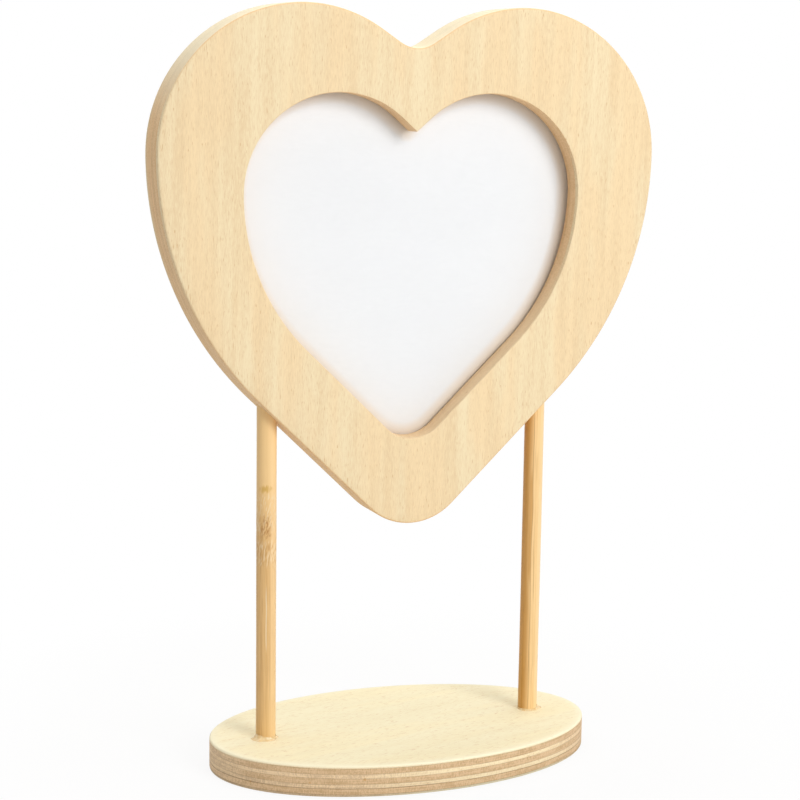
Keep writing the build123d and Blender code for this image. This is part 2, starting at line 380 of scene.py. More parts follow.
foot_joints = [(number, ply[-1]) for number, ply in enumerate(FOOT_PLIES)] + [None]
for number, (node, grain, tones, ends, shade, _) in enumerate(FOOT_PLIES):
    low, high = (corner.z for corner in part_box(node))
    bm = bmesh.new()
    bm.verts.layers.float.new("glue_line")
    worn_and_highlight = bm.verts.layers.float.new("worn_and_highlight")
    is_top = node == "base_top_veneer"
    is_bottom = node == "base_bottom_veneer"
    joints = foot_joints[number : number + 2]
    rows = rim_rows(low, high, FOOT_ROUND * is_bottom, FOOT_ROUND * is_top, *joints)
    rings = [oval_loop(bm, *row) for row in rows]
    # The top veneer's rounded rim is marked paler: sanded wood, with a painted highlight.
    if is_top:
        for vert in verts_of(sum(rings[-ROUND_STEPS - 1 : -1], [])):
            vert[worn_and_highlight] = 1.0
    join_rings(bm, rings)
    lower_edge, upper_edge = list(rings[0]), list(rings[-1])
    if high > rod_low.z:
        for x in (-rod_x, rod_x):
            mouth = socket_loop(bm, x, high)
            floor_ring = socket_loop(bm, x, max(low, rod_low.z))
            join_rings(bm, [mouth, floor_ring])
            upper_edge += mouth
            if low > rod_low.z:
                lower_edge += floor_ring
            else:
                fill(bm, floor_ring)
    fill(bm, lower_edge)
    fill(bm, upper_edge)
    seed = FOOT_SEED_STEP * number + FOOT_SEED
    wood = veneer(node + "_wood", grain, "Z", FOOT_GRAIN_TURN, tones, ends, shade, seed)
    slot = "cross_veneer" if grain == "Y" else "face_veneer"
    seat_piece(bm, node.replace("base", "foot"), wood, [node])

# Heart: two boards glued face to face, each of three plies with the middle one laid across, and
# sawn to one outline. The front board has the window, the rear one a wider rebate behind it; the
# sockets for the rods are drilled up into the lower edges, and the screw holes in from the back.
HEART_ROUND = 0.6 * MM
WINDOW_ROUND = 0.18 * MM
REBATE_LAP = 5.0 * MM
ARC_LEAST = 3
DEPTH_AXIS = 1
SEAM_GAP = 0.01 * MM
SOCKET_END_GAP = 0.05 * MM
HEART_SOCKET_DEPTH = 10.8 * MM
SCREW_HOLE_RADIUS = 1.26 * MM
SCREW_HOLE_DEPTH = 5.0 * MM
DRILL_OVERRUN = 12 * MM
RECESS_SHADE_FADE = 2
HEART_GRAIN_TURN = radians(1.5)
HEART_SEED = 40
HEART_SEED_STEP = 5.3
HEART_FACE_WOOD = ((0.885, 0.75, 0.495), (0.90, 0.71, 0.44), (0.785, 0.60, 0.36))
HEART_SIDE_WOOD = ((0.88, 0.62, 0.35), (0.88, 0.60, 0.335), (0.76, 0.505, 0.26))
HEART_PLIES = [
    ("heart_front_face_ply", "Z", HEART_FACE_WOOD, HEART_SIDE_WOOD, 0.97, 0.0),
    ("heart_front_core_ply", "X", HEART_SIDE_WOOD, HEART_SIDE_WOOD, 0.97, 0.12),
    ("heart_front_inner_ply", "Z", HEART_SIDE_WOOD, HEART_SIDE_WOOD, 0.93, 0.12),
    ("heart_rear_inner_ply", "Z", HEART_SIDE_WOOD, HEART_SIDE_WOOD, 1.0, 0.3),
    ("heart_rear_core_ply", "X", HEART_SIDE_WOOD, HEART_SIDE_WOOD, 0.97, 0.12),
    ("heart_rear_face_ply", "Z", HEART_FACE_WOOD, HEART_SIDE_WOOD, 0.95, 0.12),
]
heart_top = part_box("heart_front_core_ply")[1].z
OUTLINE = {
    "level": heart_top - 36.4 * MM,
    "lobe_radius": 36.4 * MM,
    "lobe_offset": 29.0 * MM,
    "notch_slope": radians(33),
    "notch_round": 8.0 * MM,
    "side_radius": 83.5 * MM,
    "edge_angle": radians(46),
    "tip_radius": 16.0 * MM,
}
WINDOW = {
    "level": OUTLINE["level"] - 9.2 * MM,
    "lobe_radius": 24.4 * MM,
    "lobe_offset": 19.9 * MM,
    "notch_slope": radians(41),
    "notch_round": 0.0,
    "side_radius": 52.8 * MM,
    "edge_angle": radians(46),
    "tip_radius": 10.0 * MM,
}


def heart_loop(bm, shape, growth, depth, joint=None):
    """One heart-shaped ring, grown evenly on all sides: half is drawn from notch to tip, then mirrored."""
    level, lobe, offset, slope, notch, side, angle, tip = shape.values()
    notch_level = level + (lobe + notch) / cos(slope) - offset * tan(slope)
    notch_drop = notch - growth if notch else -growth / cos(slope)
    side_x = offset + lobe - side
    reach = (side_x + side * cos(angle)) * cos(angle) + side * sin(angle) ** 2
    tip_level = level - (reach - tip) / sin(angle)
    lobe_start = Vector((offset, depth, level)) + (lobe + growth) * Vector((-sin(slope), 0, cos(slope)))
    tip_start = Vector((0, depth, tip_level)) + (tip + growth) * Vector((cos(angle), 0, -sin(angle)))
    notch_run = (offset - (lobe + notch) * sin(slope)) / cos(slope)
    edge_run = (reach - tip) / tan(angle) + side_x * sin(angle)

    known = set(bm.edges)
    last = bmesh.ops.create_vert(bm, co=(0, depth, notch_level - notch_drop))["vert"][0]
    if notch:
        last = turn_to(bm, last, (0, depth, notch_level), -slope, notch)
    last = run_to(bm, last, lobe_start, round(notch_run / RIM_PITCH))
    last = turn_to(bm, last, (offset, depth, level), pi / 2 + slope, lobe)
    last = turn_to(bm, last, (side_x, depth, level), angle, side)
    last = run_to(bm, last, tip_start, round(edge_run / RIM_PITCH))
    turn_to(bm, last, (0, depth, tip_level), pi / 2 - angle, tip)

    half = [edge for edge in bm.edges if edge not in known]
    bmesh.ops.mirror(bm, geom=half + verts_of(half), axis="X", merge_dist=SEAM_GAP)
    ring = [edge for edge in bm.edges if edge not in known]
    mark_glue_line(bm, verts_of(ring), DEPTH_AXIS, joint)
    return ring


def turn_to(bm, vert, centre, turn, radius):
    """An arc of edges from a vertex round a centre, clockwise as the front is seen."""
    steps = max(ARC_LEAST, round(abs(turn) * radius / RIM_PITCH))
    return arc_from(bm, vert, centre, (0, 1, 0), turn, steps)


def arc_from(bm, vert, centre, axis, turn, steps):
    """An arc of a set number of edges from a vertex round an axis."""
    spun = bmesh.ops.spin(bm, geom=[vert], cent=centre, axis=axis, angle=turn, steps=steps)
    return spun["geom_last"][0]


def run_to(bm, vert, goal, cuts):
    """A straight run of edges from a vertex to a point."""
    begin = vert.co.copy()
    for step in range(cuts):
        vert = bmesh.ops.extrude_vert_indiv(bm, verts=[vert])["verts"][0]
        vert.co = begin.lerp(goal, (step + 1) / cuts)
    return vert


def drill(piece, bits):
    """Cut the drill bits out of a finished piece."""
    cut = piece.modifiers.new("drill", "BOOLEAN")
    cut.object = bits
    cut.solver = "EXACT"
    graph = bpy.context.evaluated_depsgraph_get()
    drilled = bpy.data.meshes.new_from_object(piece.evaluated_get(graph))
    piece.modifiers.clear()
    piece.data = drilled
    drilled.set_sharp_from_angle(angle=SHARP_ANGLE)


def round_bar(bm, sides, radius, length, place):
    """A closed round bar, upright until it is placed."""
    size = {"radius1": radius, "radius2": radius, "depth": length}
    bmesh.ops.create_cone(bm, cap_ends=True, segments=sides, matrix=place, **size)


def drill_bit(bm, radius, start, end):
    """A round bit from one point to another."""
    run = Vector(end) - Vector(start)
    middle = Matrix.Translation((Vector(start) + Vector(end)) / 2)
    place = middle @ run.to_track_quat("Z", "Y").to_matrix().to_4x4()
    round_bar(bm, SOCKET_SIDES, radius, run.length, place)


pivots = {joint["child"]: Vector(joint["pos_m"]) for joint in frame["joints"]}
heart_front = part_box("heart_front_face_ply")[0].y
heart_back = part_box("heart_rear_face_ply")[1].y
bm = bmesh.new()
socket_end = rod_high.z + SOCKET_END_GAP
for x in (-rod_x, rod_x):
    drill_bit(bm, socket_radius, (x, 0, socket_end - 2 * DRILL_OVERRUN), (x, 0, socket_end))
for pivot in pivots.values():
    bottom = (pivot.x, heart_back - SCREW_HOLE_DEPTH, pivot.z)
    outside = (pivot.x, heart_back + DRILL_OVERRUN, pivot.z)
    drill_bit(bm, SCREW_HOLE_RADIUS, bottom, outside)
bits = stand("drill_bits", close_mesh(bm, "drill_bits"))

heart_joints = [(number, ply[-1]) for number, ply in enumerate(HEART_PLIES)] + [None]
for number, (node, grain, tones, ends, shade, _) in enumerate(HEART_PLIES):
    front, back = (corner.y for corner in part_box(node))
    is_front = node == "heart_front_face_ply"
    is_lap = node == "heart_front_inner_ply"
    is_back = node == "heart_rear_face_ply"
    lap = REBATE_LAP if "rear" in node else 0.0
    bm = bmesh.new()
    bm.verts.layers.float.new("glue_line")
    recess_shade = bm.verts.layers.float.new("recess_shade")
    joints = heart_joints[number : number + 2]
    rim = rim_rows(front, back, HEART_ROUND * is_front, HEART_ROUND * is_back, *joints)
    if is_lap:
        joints = [joints[0], None]
    opening = rim_rows(front, back, WINDOW_ROUND * is_front, WINDOW_ROUND * is_back, *joints)
    outer = [heart_loop(bm, OUTLINE, -inset, depth, joint) for inset, depth, joint in rim]
    inner = [heart_loop(bm, WINDOW, lap + inset, depth, joint) for inset, depth, joint in opening]
    walls = inner[1:-1] if is_back else inner[1:]
    # Painted shade on the window walls, strongest at the back of the front board.
    for vert in verts_of(sum(walls, [])):
        vert[recess_shade] = min(1.0, (vert.co.y - heart_front) / -heart_front) ** RECESS_SHADE_FADE
    join_rings(bm, outer)
    join_rings(bm, inner)
    fill(bm, outer[0] + inner[0])
    fill(bm, outer[-1] + inner[-1])
    seed = HEART_SEED_STEP * number + HEART_SEED
    wood = veneer(node + "_wood", grain, "Y", HEART_GRAIN_TURN, tones, ends, shade, seed)
    slot = "cross_veneer" if grain == "X" else "face_veneer"
    ply = seat_piece(bm, node.replace("_ply", "_veneer"), wood, [node])
    drill(ply, bits)
bpy.data.objects.remove(bits)

# Bamboo rods: sticks turned from split cane, fibres running their whole length. The left one keeps a
# rough brown joint of the cane above its middle; the right one is dark along one side, where it was cut
# close to the skin, and that side also carries painted shade. Both are pushed into their sockets with glue.
ROD_SIDES = 48
ROD_CUTS = 160
ROD_END_EASE = 0.4 * MM
ROD_EASE_STEPS = 2
ROD_UNEVEN = 0.035 * MM
ROD_FREE = 5 * MM
ROD_WAVE_ACROSS = 3 * MM
ROD_WAVE_ALONG = 14 * MM
ROD_WAVE_SHIFT = 30
ROD_SEED = 60
ROD_SEED_STEP = 900
JOINT_LOW = 52 * MM
JOINT_HIGH = 73 * MM
JOINT_SWELL = 0.06 * MM
SWELL_EVEN = 0.6
SWELL_TORN = 0.7
SWELL_ACROSS = 0.8 * MM
SWELL_ALONG = 2.1 * MM
FRONT_TURN = radians(-22)
CANE_TONES = {
    "left": ((0.80, 0.52, 0.225), (0.62, 0.36, 0.13)),
    "right": ((0.96, 0.675, 0.33), (0.85, 0.56, 0.25)),
}
CANE_LIT_SIDE = (0.98, 0.71, 0.38)
CANE_UPPER_LIT = (0.92, 0.64, 0.305)
CANE_SKIN_AND_SHADE = (0.58, 0.28, 0.05)
CANE_LINE = (0.42, 0.23, 0.08)
CANE_TORN = (0.44, 0.20, 0.05)
CANE_SCUFF_AND_HIGHLIGHT = (0.93, 0.78, 0.53)
CANE_STAIN = (0.62, 0.37, 0.06)
CANE_FIBRE = {"across": 0.42 * MM, "along": 70 * MM, "detail": 3.0, "roughness": 0.6}
CANE_THREAD = {"across": 0.17 * MM, "along": 12 * MM, "shift": 2, "detail": 1.0}
CANE_BUNDLE = {"across": 0.22 * MM, "along": 14 * MM, "shift": 4, "detail": 1.0}
CANE_DRIFT = {"across": 4 * MM, "along": 16 * MM, "shift": 6}
CANE_STROKE = {"across": 0.32 * MM, "along": 2.2 * MM, "shift": 9, "detail": 1.0}
CANE_TEAR = {"across": 0.30 * MM, "along": 1.2 * MM, "shift": 17}
CANE_FIBRE_SHARE = 1.7
CANE_THREAD_SHARE = 1.1
CANE_DRIFT_SHARE = 0.7
BUNDLE_BAND = (0.58, 0.72)
BUNDLE_SHARE = 0.42
WOBBLE = 0.9 * MM
FACING_BAND = (0.3 * MM, -0.3 * MM)
CANE_ROUGH = (0.2, 0.8, 0.40, 0.58)
CANE_GLOSS = 0.4
CANE_RELIEF = (0.04 * MM, 0.5)
CANE_MARK_DEPTH = -0.9
RIGHT_LIT_SIDE = (1.0 * MM, 2.2 * MM, 0.0, 0.8)
SKIN_AND_SHADE_BAND = (0.5 * MM, -1.5 * MM)
SKIN_EDGE = (0.12 * MM, -0.12 * MM)
SKIN_EDGE_SPAN = (38 * MM, 78 * MM, 9 * MM)
SKIN_EDGE_SHARE = 0.75
SKIN_FIBRE = (0.3, 0.65, 1.0, 0.72)
SEAM_BAND = (0.16 * MM, 0.03 * MM, 0.0, 0.5)
LEFT_UPPER_LIT = (58 * MM, 78 * MM, 0.0, 0.85)
LEFT_LIT_SIDE = (0.4 * MM, 1.9 * MM, 0.0, 0.6)
RAGGED = 7 * MM
TORN_LEAN = radians(-12)
SCUFF_SPAN = (60 * MM, 72 * MM, 2.0 * MM)
SCUFF_BAND = (0.52, 0.36)
SCUFF_SHARE = 0.45
TORN_SPAN = (59.5 * MM, 66 * MM, 1.5 * MM)
TORN_SIDES = (1.9 * MM, 0.7 * MM)
TORN_BAND = (0.42, 0.62)
TORN_SHARE = 0.8
FRAY_SPAN = (JOINT_LOW, 60 * MM, 2.0 * MM)
FRAY_BAND = (0.50, 0.64, 0.0, 0.45)
STAIN_PLACE = (-0.2 * MM, -2.4 * MM, 72.6 * MM)
STAIN_FLAT = (0.6, 0.4, 0.9)
STAIN_RAGGED = 1.6 * MM
STAIN_BAND = (1.1 * MM, 0.3 * MM, 0.0, 0.7)
HIGHLIGHT_STREAK_PLACE = 0.3 * MM
HIGHLIGHT_STREAK_BAND = (0.2 * MM, 0.06 * MM)
HIGHLIGHT_STREAK_SPAN = (30 * MM, 49 * MM, 4 * MM)
HIGHLIGHT_STREAK_SHARE = 0.75


def long_edges(bm):
    """The edges that run along a rod."""
    return [edge for edge in bm.edges if abs(edge.verts[0].co.z - edge.verts[1].co.z) > rod_radius]


def cane_rod(side, x):
    """Mesh of one rod: a long round stick, a little uneven, swollen at the cane's joint on the left."""
    bm = bmesh.new()
    middle = Matrix.Translation((0, 0, (rod_low.z + rod_high.z) / 2))
    round_bar(bm, ROD_SIDES, rod_radius, rod_high.z - rod_low.z, middle)
    lengthwise = long_edges(bm)
    rims = [edge for edge in bm.edges if edge not in lengthwise]
    bmesh.ops.bevel(
        bm,
        geom=rims,
        offset=ROD_END_EASE,
        affect="EDGES",
        segments=ROD_EASE_STEPS,
        profile=0.5,
        material=-1,
        clamp_overlap=True,
    )
    bmesh.ops.subdivide_edges(bm, edges=long_edges(bm), cuts=ROD_CUTS, use_grid_fill=True)
    joint_level = (JOINT_LOW + JOINT_HIGH) / 2
    for vert in bm.verts:
        above_foot = max(0.0, (vert.co.z - foot_top) / ROD_FREE)
        below_heart = max(0.0, (heart_entry - vert.co.z) / ROD_FREE)
        across, depth, height = vert.co
        outward = Vector((across, depth, 0)).normalized()
        rise = height / ROD_WAVE_ALONG + ROD_WAVE_SHIFT * x / MM
        wave = Vector((across / ROD_WAVE_ACROSS, depth / ROD_WAVE_ACROSS, rise))
        push = ROD_UNEVEN * noise.noise(wave)
        if side == "left":
            reach = (height - joint_level) / (JOINT_HIGH - joint_level)
            bulge = max(0.0, 1 - reach**2) ** 2
            tear = noise.noise(Vector((across / SWELL_ACROSS, depth / SWELL_ACROSS, height / SWELL_ALONG)))
            push += bulge * JOINT_SWELL * (SWELL_EVEN + SWELL_TORN * tear)
        vert.co += outward * push * min(1.0, above_foot, below_heart)
    bmesh.ops.translate(bm, vec=(x, 0, 0), verts=bm.verts)
    return bm


def span(tree, value, low, high, soft):
    """1 between two levels, easing out at both."""
    return times(tree, ramp(tree, value, low, low + soft), ramp(tree, value, high, high - soft))


def bamboo(name, x, side, seed):
    """Turned cane: long fibres and dark bundles, the marks that each rod has, and painted light and shade
    across it.
    """
    material, tree, shader = bare_material(name)
    place = put(tree, "ShaderNodeTexCoord", {}).outputs["Object"]
    laid = {"Vector": place, "Location": (x, 0, 0), "Rotation": (0, 0, FRONT_TURN)}
    turned = put(tree, "ShaderNodeMapping", laid, vector_type="TEXTURE").outputs[0]
    across, front, height = put(tree, "ShaderNodeSeparateXYZ", {0: turned}).outputs

    fibre = grain_noise(tree, turned, "Z", seed, **CANE_FIBRE)
    thread = grain_noise(tree, turned, "Z", seed, **CANE_THREAD)
    bundle = ramp(tree, grain_noise(tree, turned, "Z", seed, **CANE_BUNDLE), *BUNDLE_BAND)
    drift = grain_noise(tree, turned, "Z", seed, **CANE_DRIFT)
    tone = swing(tree, fibre, CANE_FIBRE_SHARE, TONE_MIDDLE)
    tone = swing(tree, thread, CANE_THREAD_SHARE, tone)
    tone = swing(tree, drift, CANE_DRIFT_SHARE, tone)
    cane = tint(tree, ramp(tree, tone, 0.0, 1.0), *CANE_TONES[side])
    cane = tint(tree, times(tree, bundle, BUNDLE_SHARE), cane, CANE_LINE)
    wobble = swing(tree, drift, WOBBLE, across)
    facing = ramp(tree, front, *FACING_BAND)
    rough = bundle

    if side == "right":
        # Painted light: the rod's right side, toward the key lamp, is paler.
        cane = tint(tree, ramp(tree, across, *RIGHT_LIT_SIDE), cane, CANE_LIT_SIDE)
        # Real skin and painted shade: the right rod's left part is darkened.
        edged = times(tree, ramp(tree, wobble, *SKIN_EDGE), span(tree, height, *SKIN_EDGE_SPAN))
        skin_and_shade = maths(tree, "MAXIMUM", ramp(tree, wobble, *SKIN_AND_SHADE_BAND), times(tree, edged, SKIN_EDGE_SHARE))
        skin_and_shade = times(tree, skin_and_shade, ramp(tree, fibre, *SKIN_FIBRE))
        cane = tint(tree, skin_and_shade, cane, CANE_SKIN_AND_SHADE)
        seam = ramp(tree, maths(tree, "ABSOLUTE", wobble), *SEAM_BAND)
        cane = tint(tree, times(tree, seam, facing), cane, CANE_LINE)
    else:
        # Painted light: the left rod is paler towards its top, under the heart.
        cane = tint(tree, ramp(tree, height, *LEFT_UPPER_LIT), cane, CANE_UPPER_LIT)
        # Painted light: the rod's right side, toward the key lamp, is paler.
        cane = tint(tree, ramp(tree, across, *LEFT_LIT_SIDE), cane, CANE_LIT_SIDE)
        ragged = swing(tree, fibre, RAGGED, height)
        lean = {"Vector": turned, "Rotation": (0, TORN_LEAN, 0)}
        leaning = put(tree, "ShaderNodeMapping", lean).outputs[0]
        stroke = grain_noise(tree, leaning, "Z", seed, **CANE_STROKE)
        tear = grain_noise(tree, leaning, "Z", seed, **CANE_TEAR)
        scuffed = span(tree, ragged, *SCUFF_SPAN)
        torn = span(tree, ragged, *TORN_SPAN)
        frayed = span(tree, ragged, *FRAY_SPAN)
        pale = times(tree, ramp(tree, stroke, *SCUFF_BAND), maths(tree, "MAXIMUM", scuffed, frayed))
        torn = times(tree, torn, ramp(tree, maths(tree, "ABSOLUTE", across), *TORN_SIDES))
        torn = times(tree, torn, ramp(tree, tear, *TORN_BAND))
        frayed = times(tree, frayed, ramp(tree, stroke, *FRAY_BAND))
        dark = maths(tree, "MAXIMUM", torn, frayed)
        cane = tint(tree, times(tree, pale, SCUFF_SHARE), cane, CANE_SCUFF_AND_HIGHLIGHT)
        cane = tint(tree, times(tree, dark, TORN_SHARE), cane, CANE_TORN)
        away = put(tree, "ShaderNodeVectorMath", {0: turned, 1: STAIN_PLACE}, operation="SUBTRACT")
        flat = put(tree, "ShaderNodeVectorMath", {0: away.outputs[0], 1: STAIN_FLAT}, operation="MULTIPLY")
        gap = put(tree, "ShaderNodeVectorMath", {0: flat.outputs[0]}, operation="LENGTH").outputs["Value"]
        gap = swing(tree, stroke, STAIN_RAGGED, gap)
        cane = tint(tree, ramp(tree, gap, *STAIN_BAND), cane, CANE_STAIN)
        # Painted highlight: a thin pale line down the front of the rod.
        beside = maths(tree, "ABSOLUTE", maths(tree, "SUBTRACT", wobble, HIGHLIGHT_STREAK_PLACE))
        highlight_streak = times(tree, ramp(tree, beside, *HIGHLIGHT_STREAK_BAND), span(tree, height, *HIGHLIGHT_STREAK_SPAN))
        highlight_streak = times(tree, times(tree, highlight_streak, facing), HIGHLIGHT_STREAK_SHARE)
        cane = tint(tree, highlight_streak, cane, CANE_SCUFF_AND_HIGHLIGHT)
        rough = maths(tree, "MAXIMUM", bundle, dark)

    relief = maths(tree, "MULTIPLY_ADD", rough, CANE_MARK_DEPTH, thread)
    dress(tree, shader, cane, ramp(tree, thread, *CANE_ROUGH), relief, CANE_RELIEF)
    shader.inputs["Specular IOR Level"].default_value = CANE_GLOSS
    return material


foot_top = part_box("base_top_veneer")[1].z
heart_entry = rod_high.z - HEART_SOCKET_DEPTH
for side, x in (("left", -rod_x), ("right", rod_x)):
    cane = bamboo(f"cane_{side}", x, side, seed=ROD_SEED + ROD_SEED_STEP * x)
    seat_piece(cane_rod(side, x), f"cane_rod_{side}", cane, [f"bamboo_rod_{side}"])

# Glue: clear wood glue that was squeezed out when each rod was pushed into the foot, and dried in
# a lumpy, glassy ring that climbs a little way up the rod.
GLUE_CLIMB = 1.2 * MM
GLUE_SPREAD = 1.45 * MM
GLUE_STEPS = 72
GLUE_PROFILE = [(0.0, 1.0), (0.1, 0.72), (0.28, 0.42), (0.55, 0.2), (0.85, 0.07), (1.0, 0.0), (0.0, 0.0)]
GLUE_LUMPS = {"left": (radians(205), 0.6, 0.42), "right": (radians(8), 0.9, 0.1)}
LUMP_FOCUS = 4
BEAD_SHIFT = 3
BEAD_WAVES = ((0.4, 1.7), (0.2, 4.3))
BEAD_LEAST = 0.12
BEAD_STAND = 0.35
GLUE_AMBER = (0.97, 0.78, 0.46)
GLUE_CLOUDY = (0.89, 0.62, 0.29)
GLUE_CLOUD = {"across": 0.9 * MM, "along": 0.9 * MM}
GLUE_SEED = 3.0
CLOUD_BAND = (0.3, 0.7)
GLUE_ROUGH = (0.3, 0.7, 0.05, 0.14)
GLUE_CLEAR_SHARE = 0.12
GLUE_IOR = 1.46
GLUE_RELIEF = (0.1 * MM, 0.4)


def dried_glue():
    """Hard glassy amber glue with a few cloudy places."""
    material, tree, shader = bare_material("dried_glue")
    spot = put(tree, "ShaderNodeTexCoord", {}).outputs["Object"]
    cloud = grain_noise(tree, spot, "Z", GLUE_SEED, **GLUE_CLOUD)
    amber = tint(tree, ramp(tree, cloud, *CLOUD_BAND), GLUE_AMBER, GLUE_CLOUDY)
    dress(tree, shader, amber, ramp(tree, cloud, *GLUE_ROUGH), cloud, GLUE_RELIEF)
    shader.inputs["Transmission Weight"].default_value = GLUE_CLEAR_SHARE
    shader.inputs["IOR"].default_value = GLUE_IOR
    return material


def spin_round(bm, geom, axis, steps):
    """Spin an outline once round an axis through the origin."""
    bmesh.ops.spin(bm, geom=geom, cent=(0, 0, 0), axis=axis, angle=2 * pi, steps=steps, use_merge=True)


glassy = dried_glue()
for side, x in (("left", -rod_x), ("right", rod_x)):
    lump_turn, lump_size, squeezed = GLUE_LUMPS[side]
    bm = bmesh.new()
    points = []
    for out, up in GLUE_PROFILE:
        points.append(Vector((socket_radius + out * GLUE_SPREAD, 0, foot_top + up * GLUE_CLIMB)))
    first = last = bmesh.ops.create_vert(bm, co=points[0])["vert"][0]
    for point in points[1:]:
        last = run_to(bm, last, point, 1)
    bmesh.ops.contextual_create(bm, geom=[last, first])
    spin_round(bm, bm.verts[:] + bm.edges[:], (0, 0, 1), GLUE_STEPS)
    for vert in bm.verts:
        turn = atan2(vert.co.y, vert.co.x)
        ring = Vector((cos(turn), sin(turn), BEAD_SHIFT * x / MM))
        lump = lump_size * max(0.0, cos(turn - lump_turn)) ** LUMP_FOCUS
        swell = squeezed + sum(share * noise.noise(pace * ring) for share, pace in BEAD_WAVES) + lump
        swell = min(1.0, max(BEAD_LEAST, swell))
        flat = Vector((vert.co.x, vert.co.y, 0))
        rim = flat.normalized() * socket_radius
        height = (vert.co.z - foot_top) * (BEAD_STAND + (1 - BEAD_STAND) * swell)
        vert.co = rim + (flat - rim) * swell + Vector((0, 0, foot_top + height))
    bmesh.ops.translate(bm, vec=(x, 0, 0), verts=bm.verts)
    seat_piece(bm, f"squeezed_glue_{side}", glassy, [f"glue_bead_{side}"])

# Picture stack: a clear sheet, the plain white picture card, a grey packing card and a brown
# hardboard back lie one behind the other in the rebate, cut to one heart with a little room round it.
STACK_ROOM = 0.3 * MM
STACK_AIR = 0.02 * MM
PANE_EASE = 0.12 * MM
CARD_EASE = 0.04 * MM
BOARD_EASE = 0.25 * MM
WARM_SHADE_RIM = (0.88, 0.75, 0.62)
WARM_SHADE_REACH = 3.0 * MM
PANE_TINT = (0.985, 0.99, 0.99, 1.0)
PANE_MIRROR = (1.0, 1.0, 1.0, 1.0)
PANE_ROUGH = 0.03
PANE_IOR = 1.3
SHEET_SEED = 11.0
SHEET_CLOUD = {"across": 22 * MM, "along": 26 * MM, "shift": 3}
SHEET_CLOUD_SHARE = 0.6
SHEET_BAND = (0.25, 0.75)
SHEET_ROUGH_SWING = 0.06
SHEET_GLOSS = 0.3
SHEET_BUMP = 0.4
FLECK_STRETCH = 2.5
FLECK = {"detail": 3.0, "roughness": 0.6}


def clear_sheet():
    """Clear sheet: light goes straight through, and the surface mirrors a little."""
    material, tree, _ = bare_material("clear_sheet")
    tree.nodes.clear()
    through = put(tree, "ShaderNodeBsdfTransparent", {"Color": PANE_TINT})
    mirror = put(tree, "ShaderNodeBsdfGlossy", {"Color": PANE_MIRROR, "Roughness": PANE_ROUGH})
    inside = put(tree, "ShaderNodeNewGeometry", {}).outputs["Backfacing"]
    gloss = put(tree, "ShaderNodeFresnel", {"IOR": PANE_IOR}).outputs[0]
    gloss = times(tree, gloss, maths(tree, "SUBTRACT", 1.0, inside))
    mixed = put(tree, "ShaderNodeMixShader", {0: gloss, 1: through.outputs[0], 2: mirror.outputs[0]})
    put(tree, "ShaderNodeOutputMaterial", {"Surface": mixed.outputs[0]})
    return material


def pressed_sheet(name, pale, deep, fleck, depth, roughness):
    """Paper, card or hardboard: matted fibres with no grain."""
    material, tree, shader = bare_material(name)
    spot = put(tree, "ShaderNodeTexCoord", {}).outputs["Object"]
    mat = grain_noise(tree, spot, "X", SHEET_SEED, fleck, FLECK_STRETCH * fleck, **FLECK)
    cloud = grain_noise(tree, spot, "X", SHEET_SEED, **SHEET_CLOUD)
    tone = swing(tree, cloud, SHEET_CLOUD_SHARE, mat)
    sheet = tint(tree, ramp(tree, tone, *SHEET_BAND), pale, deep)
    # Painted shade: a warm brown band where the card meets the window's edge, also under the lap.
    sheet = tint(tree, painted(tree, "warm_shade"), sheet, WARM_SHADE_RIM)
    rough = ramp(tree, mat, *SHEET_BAND, roughness - SHEET_ROUGH_SWING, roughness + SHEET_ROUGH_SWING)
    dress(tree, shader, sheet, rough, mat, (depth, SHEET_BUMP))
    shader.inputs["Specular IOR Level"].default_value = SHEET_GLOSS
    return material


white_card = pressed_sheet(
    "white_card",
    pale=(0.925, 0.93, 0.96),
    deep=(0.895, 0.90, 0.93),
    fleck=0.5 * MM,
    depth=0.01 * MM,
    roughness=0.6,
)
grey_card = pressed_sheet(
    "grey_card",
    pale=(0.46, 0.44, 0.41),
    deep=(0.36, 0.34, 0.31),
    fleck=0.4 * MM,
    depth=0.03 * MM,
    roughness=0.85,
)
hardboard = pressed_sheet(
    "hardboard",
    pale=(0.42, 0.26, 0.145),
    deep=(0.29, 0.165, 0.085),
    fleck=0.6 * MM,
    depth=0.03 * MM,
    roughness=0.5,
)
SHEETS = [
    ("clear_pane", "window_pane", clear_sheet(), "clear_sheet", PANE_EASE),
    ("photo_card", "picture_card", white_card, "photo_paper", CARD_EASE),
    ("packing_card", "packing_sheet", grey_card, "grey_board", CARD_EASE),
    ("backing_board", "hardboard_back", hardboard, "fibre_board", BOARD_EASE),
]
for node, name, finish, slot, ease in SHEETS:
    front, back = (corner.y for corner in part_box(node))
    bm = bmesh.new()
    warm_shade = bm.verts.layers.float.new("warm_shade")
    rows = rim_rows(front + STACK_AIR, back - STACK_AIR, ease, ease)
    rings = [heart_loop(bm, WINDOW, REBATE_LAP - STACK_ROOM - inset, depth) for inset, depth, _ in rows]
    join_rings(bm, rings)
    fill(bm, rings[-1])
    fronts = [rings[0]]
    # Painted shade on the card along the window's edge, fading over 3 mm into the picture.
    if node == "photo_card":
        fronts += [heart_loop(bm, WINDOW, -reach, front + STACK_AIR) for reach in (0, WARM_SHADE_REACH)]
        for vert in verts_of(fronts[1]):
            vert[warm_shade] = 1.0
    for outer, inner in zip(fronts, [*fronts[1:], []]):
        fill(bm, outer + inner)
    seat_piece(bm, name, finish, [node])

